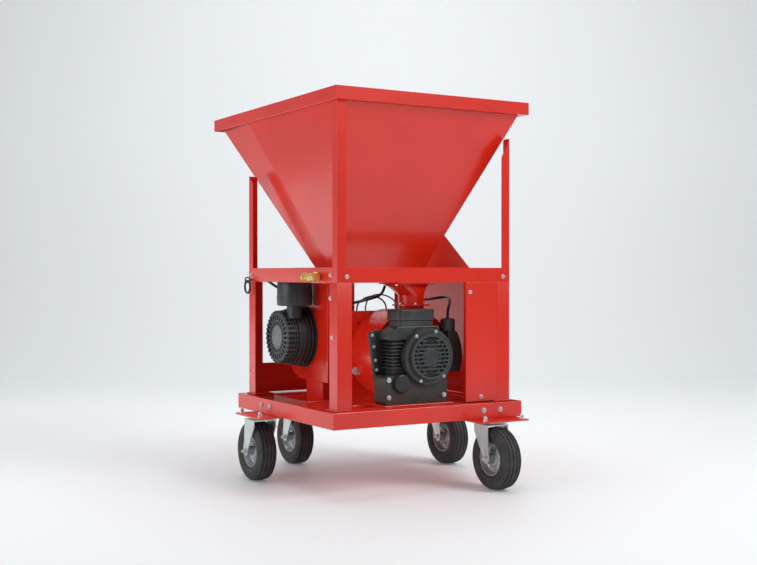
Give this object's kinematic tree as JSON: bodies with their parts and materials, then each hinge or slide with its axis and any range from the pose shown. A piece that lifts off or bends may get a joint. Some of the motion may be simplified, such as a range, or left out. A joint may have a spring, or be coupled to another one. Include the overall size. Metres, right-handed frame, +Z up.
{
  "type": "wood chipper",
  "caption": "Wheeled wood chipper: square post frame on swivel casters, sloping feed hopper over an engine-driven knife drum, with a chip blower.",
  "frame": {"origin": "centre of the bounding box at floor level, between the four caster contacts", "axes": "+Z up, +X to the machine's right along its front face, +Y to the back"},
  "size_m": [1.08, 1.395, 1.597],
  "materials": {
    "red_powder_coat": "gloss powder coat",
    "black_enamel": "satin black enamel",
    "black_plastic": "moulded satin plastic",
    "cast_black": "painted casting",
    "zinc_plate": "bright zinc plating",
    "machined_steel": "machined",
    "hub_silver": "silver paint",
    "tyre_rubber": "tread rubber",
    "brass": "turned brass",
    "hose_rubber": "smooth hose"
  },
  "bodies": {
    "chassis": {"air_filter_box": "black_plastic", "anvil": "machined_steel", "base_cross_members": "red_powder_coat", "base_rails": "red_powder_coat", "bearings": "machined_steel", "blower_scroll": "red_powder_coat", "canister_hose": "hose_rubber", "casing_plate": "red_powder_coat", "caster_plates": "red_powder_coat", "caster_tops": "zinc_plate", "coupler_body": "brass", "crankcase": "cast_black", "crankcase_lid": "black_plastic", "cylinder_fins": "cast_black", "drum_plug": "zinc_plate", "drum_shell": "red_powder_coat", "engine_bolts": "zinc_plate", "engine_hose": "hose_rubber", "engine_shroud": "black_plastic", "fan_cover": "black_plastic", "frame_bolts": "zinc_plate", "front_panel": "red_powder_coat", "hopper_brace": "red_powder_coat", "hopper_funnel": "red_powder_coat", "hopper_rim": "red_powder_coat", "hopper_throat": "red_powder_coat", "hopper_walls": "red_powder_coat", "ignition_cap": "black_plastic", "intake_canister": "black_plastic", "lashing_eye": "black_enamel", "lower_posts": "red_powder_coat", "mid_rails": "red_powder_coat", "motor_housing": "cast_black", "muffler": "black_enamel", "rear_shield": "red_powder_coat", "side_panel": "red_powder_coat", "starter_cover": "black_plastic", "transfer_duct": "red_powder_coat", "upper_posts": "red_powder_coat", "wiring_loom": "hose_rubber"},
    "swivel_left": {"caster_fork_left": "zinc_plate"},
    "wheel_left": {"tyre_left": "tyre_rubber", "wheel_hub_left": "hub_silver"},
    "swivel_front": {"caster_fork_front": "zinc_plate"},
    "wheel_front": {"tyre_front": "tyre_rubber", "wheel_hub_front": "hub_silver"},
    "swivel_back": {"caster_fork_back": "zinc_plate"},
    "wheel_back": {"tyre_back": "tyre_rubber", "wheel_hub_back": "hub_silver"},
    "swivel_right": {"caster_fork_right": "zinc_plate"},
    "wheel_right": {"tyre_right": "tyre_rubber", "wheel_hub_right": "hub_silver"},
    "rotor": {"crankshaft": "machined_steel", "rotor_disc": "machined_steel", "rotor_knives": "machined_steel", "flywheel_fan": "black_enamel"},
    "blower_rotor": {"blower_shaft": "machined_steel", "blower_impeller": "black_enamel"},
    "coupler_sleeve": {"coupler_sleeve": "brass"},
    "lashing_ring": {"lashing_ring": "black_enamel"}
  },
  "joints": [
    {"name": "swivel_left_turn", "type": "hinge", "parent": "chassis", "child": "swivel_left", "pos_m": [-0.47, 0.0855, 0.262], "axis": [0, 0, 1], "continuous": true},
    {"name": "wheel_left_spin", "type": "hinge", "parent": "swivel_left", "child": "wheel_left", "pos_m": [-0.47, 0.1215, 0.127], "axis": [1, 0, 0], "continuous": true},
    {"name": "swivel_front_turn", "type": "hinge", "parent": "chassis", "child": "swivel_front", "pos_m": [0.28, -0.5345, 0.262], "axis": [0, 0, 1], "continuous": true},
    {"name": "wheel_front_spin", "type": "hinge", "parent": "swivel_front", "child": "wheel_front", "pos_m": [0.28, -0.5705, 0.127], "axis": [1, 0, 0], "continuous": true},
    {"name": "swivel_back_turn", "type": "hinge", "parent": "chassis", "child": "swivel_back", "pos_m": [-0.14, 0.3855, 0.262], "axis": [0, 0, 1], "continuous": true},
    {"name": "wheel_back_spin", "type": "hinge", "parent": "swivel_back", "child": "wheel_back", "pos_m": [-0.14, 0.4215, 0.127], "axis": [1, 0, 0], "continuous": true},
    {"name": "swivel_right_turn", "type": "hinge", "parent": "chassis", "child": "swivel_right", "pos_m": [0.47, 0.1055, 0.262], "axis": [0, 0, 1], "continuous": true},
    {"name": "wheel_right_spin", "type": "hinge", "parent": "swivel_right", "child": "wheel_right", "pos_m": [0.47, 0.0695, 0.127], "axis": [1, 0, 0], "continuous": true},
    {"name": "rotor_spin", "type": "hinge", "parent": "chassis", "child": "rotor", "pos_m": [0.039, -0.1845, 0.541], "axis": [0, 1, 0], "continuous": true},
    {"name": "blower_spin", "type": "hinge", "parent": "chassis", "child": "blower_rotor", "pos_m": [-0.21, 0.1355, 0.605], "axis": [1, 0, 0], "continuous": true},
    {"name": "coupler_slide", "type": "slide", "parent": "chassis", "child": "coupler_sleeve", "axis": [0, 1, 0], "range_m": [0, 0.006], "stiffness_N_per_m": 400, "springref_m": -0.002},
    {"name": "lashing_ring_swing", "type": "hinge", "parent": "chassis", "child": "lashing_ring", "pos_m": [-0.431, 0.3055, 0.8468], "axis": [0, 1, 0], "range_deg": [-15, 60]}
  ]
}
